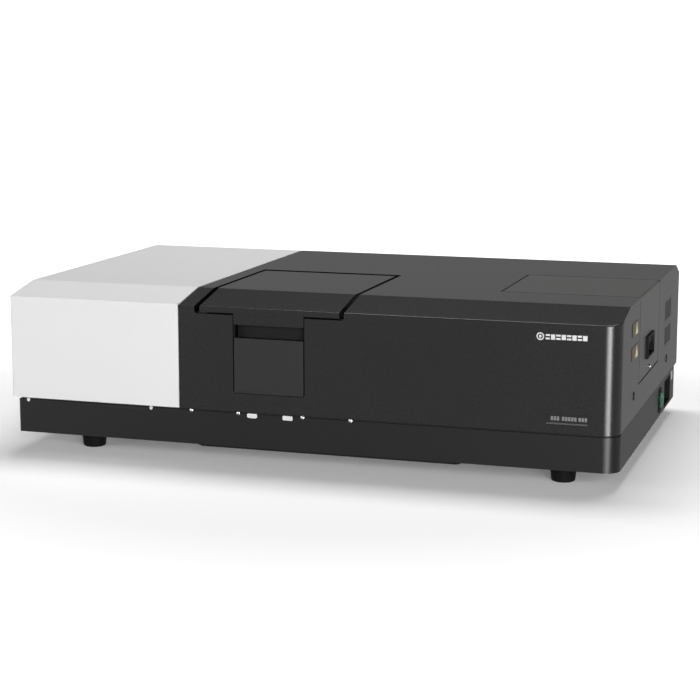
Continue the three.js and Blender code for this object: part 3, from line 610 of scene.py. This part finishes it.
# Azimuth 0 is in front and 90 to the right. Degrees, metres and watts.
LAMPS = [
    dict(name="key", azimuth=32, elevation=8, distance=6.0, width=2.7, height=2.85, power=290),
    dict(name="overhead", azimuth=180, elevation=74, distance=3.0, width=2.4, height=1.2, power=67),
    dict(name="fill", azimuth=-50, elevation=8, distance=6.0, width=3.0, height=3.0, power=160),
    dict(name="strip", azimuth=36, elevation=-8, distance=4.0, width=1.0, height=1.6, power=32),
    dict(name="wide_strip", azimuth=32, elevation=-8, distance=4.0, width=2.0, height=1.6, power=74),
]


def map_range(tree, value, span, result):
    node = tree.nodes.new("ShaderNodeMapRange")
    for socket, number in zip(("From Min", "From Max", "To Min", "To Max"), (*span, *result)):
        node.inputs[socket].default_value = number
    tree.links.new(value, node.inputs["Value"])
    return node.outputs["Result"]


def product(tree, first, second):
    node = tree.nodes.new("ShaderNodeMath")
    node.operation = "MULTIPLY"
    tree.links.new(first, node.inputs[0])
    tree.links.new(second, node.inputs[1])
    return node.outputs["Value"]


def floor():
    """A wide pale floor that keeps the object's soft shadow and fades to white further out."""
    editor = bmesh.new()
    bmesh.ops.create_grid(editor, x_segments=1, y_segments=1, size=60.0)
    mesh = bpy.data.meshes.new("floor")
    editor.to_mesh(mesh)
    editor.free()
    plane = bpy.data.objects.new("floor", mesh)
    bpy.context.scene.collection.objects.link(plane)
    plane.visible_glossy = False
    g = Graph("pale_floor")
    tree = g.material.node_tree
    seen = g.add("ShaderNodeLightPath").outputs["Is Camera Ray"]
    distance = g.add("ShaderNodeVectorMath", operation="LENGTH")
    g.links.new(g.place, distance.inputs[0])
    lift = map_range(tree, distance.outputs["Value"], FLOOR_LIFT_REACH, FLOOR_LIFT)
    g.links.new(product(tree, seen, lift), g.shader.inputs["Emission Strength"])
    g.set(Roughness=0.9, Specular_IOR_Level=0.0, Emission_Color=(1.0, 1.0, 1.0))
    g.colour(map_range(tree, seen, (0.0, 1.0), (FLOOR_BOUNCED, FLOOR_SEEN)))
    mesh.materials.append(g.material)


def surroundings():
    """A grey room, paler below and behind, with a white backdrop behind the object."""
    world = bpy.data.worlds.new("studio")
    bpy.context.scene.world = world
    world.use_nodes = True
    tree = world.node_tree
    background = tree.nodes["Background"]
    background.inputs["Color"].default_value = (1.0, 1.0, 1.0, 1.0)
    parts = tree.nodes.new("ShaderNodeSeparateXYZ")
    direction = tree.nodes.new("ShaderNodeTexCoord").outputs["Generated"]
    tree.links.new(direction, parts.inputs["Vector"])
    height = tree.nodes.new("ShaderNodeValToRGB")
    while len(height.color_ramp.elements) < len(ROOM):
        height.color_ramp.elements.new(0.5)
    for element, (upward, level) in zip(height.color_ramp.elements, ROOM):
        element.position = (upward + 1.0) / 2.0
        element.color = (level, level, level, 1.0)
    upward_share = map_range(tree, parts.outputs["Z"], (-1.0, 1.0), (0.0, 1.0))
    tree.links.new(upward_share, height.inputs["Fac"])
    depth = map_range(tree, parts.outputs["Y"], (-0.3, 0.3), (ROOM_FRONT, 1.0))
    seen = tree.nodes.new("ShaderNodeLightPath").outputs["Is Camera Ray"]
    level = tree.nodes.new("ShaderNodeMapRange")
    level.inputs["To Max"].default_value = BACKDROP_SEEN
    tree.links.new(seen, level.inputs["Value"])
    tree.links.new(product(tree, height.outputs["Color"], depth), level.inputs["To Min"])
    tree.links.new(level.outputs["Result"], background.inputs["Strength"])


def softbox(name, azimuth, elevation, distance, width, height, power):
    """A rectangular lamp aimed at the object and hidden from the camera."""
    az, el = radians(azimuth), radians(elevation)
    offset = Vector((sin(az) * cos(el), -cos(az) * cos(el), sin(el))) * distance
    light = bpy.data.lights.new(name, "AREA")
    light.shape = "RECTANGLE"
    light.size, light.size_y = width, height
    light.energy = power
    lamp = bpy.data.objects.new(name, light)
    bpy.context.scene.collection.objects.link(lamp)
    lamp.location = AIM + offset
    lamp.rotation_euler = offset.to_track_quat("Z", "Y").to_euler()
    lamp.visible_camera = False


def camera():
    data = bpy.data.cameras.new("camera")
    data.sensor_width = 36.0
    data.lens = LENS
    data.clip_end = 200.0
    eye = bpy.data.objects.new("camera", data)
    bpy.context.scene.collection.objects.link(eye)
    eye.location = CAMERA_PLACE
    eye.rotation_euler = [radians(angle) for angle in CAMERA_TURN]
    bpy.context.scene.camera = eye


floor()
surroundings()
for lamp in LAMPS:
    softbox(**lamp)
camera()
bpy.context.scene.view_settings.view_transform = "Standard"
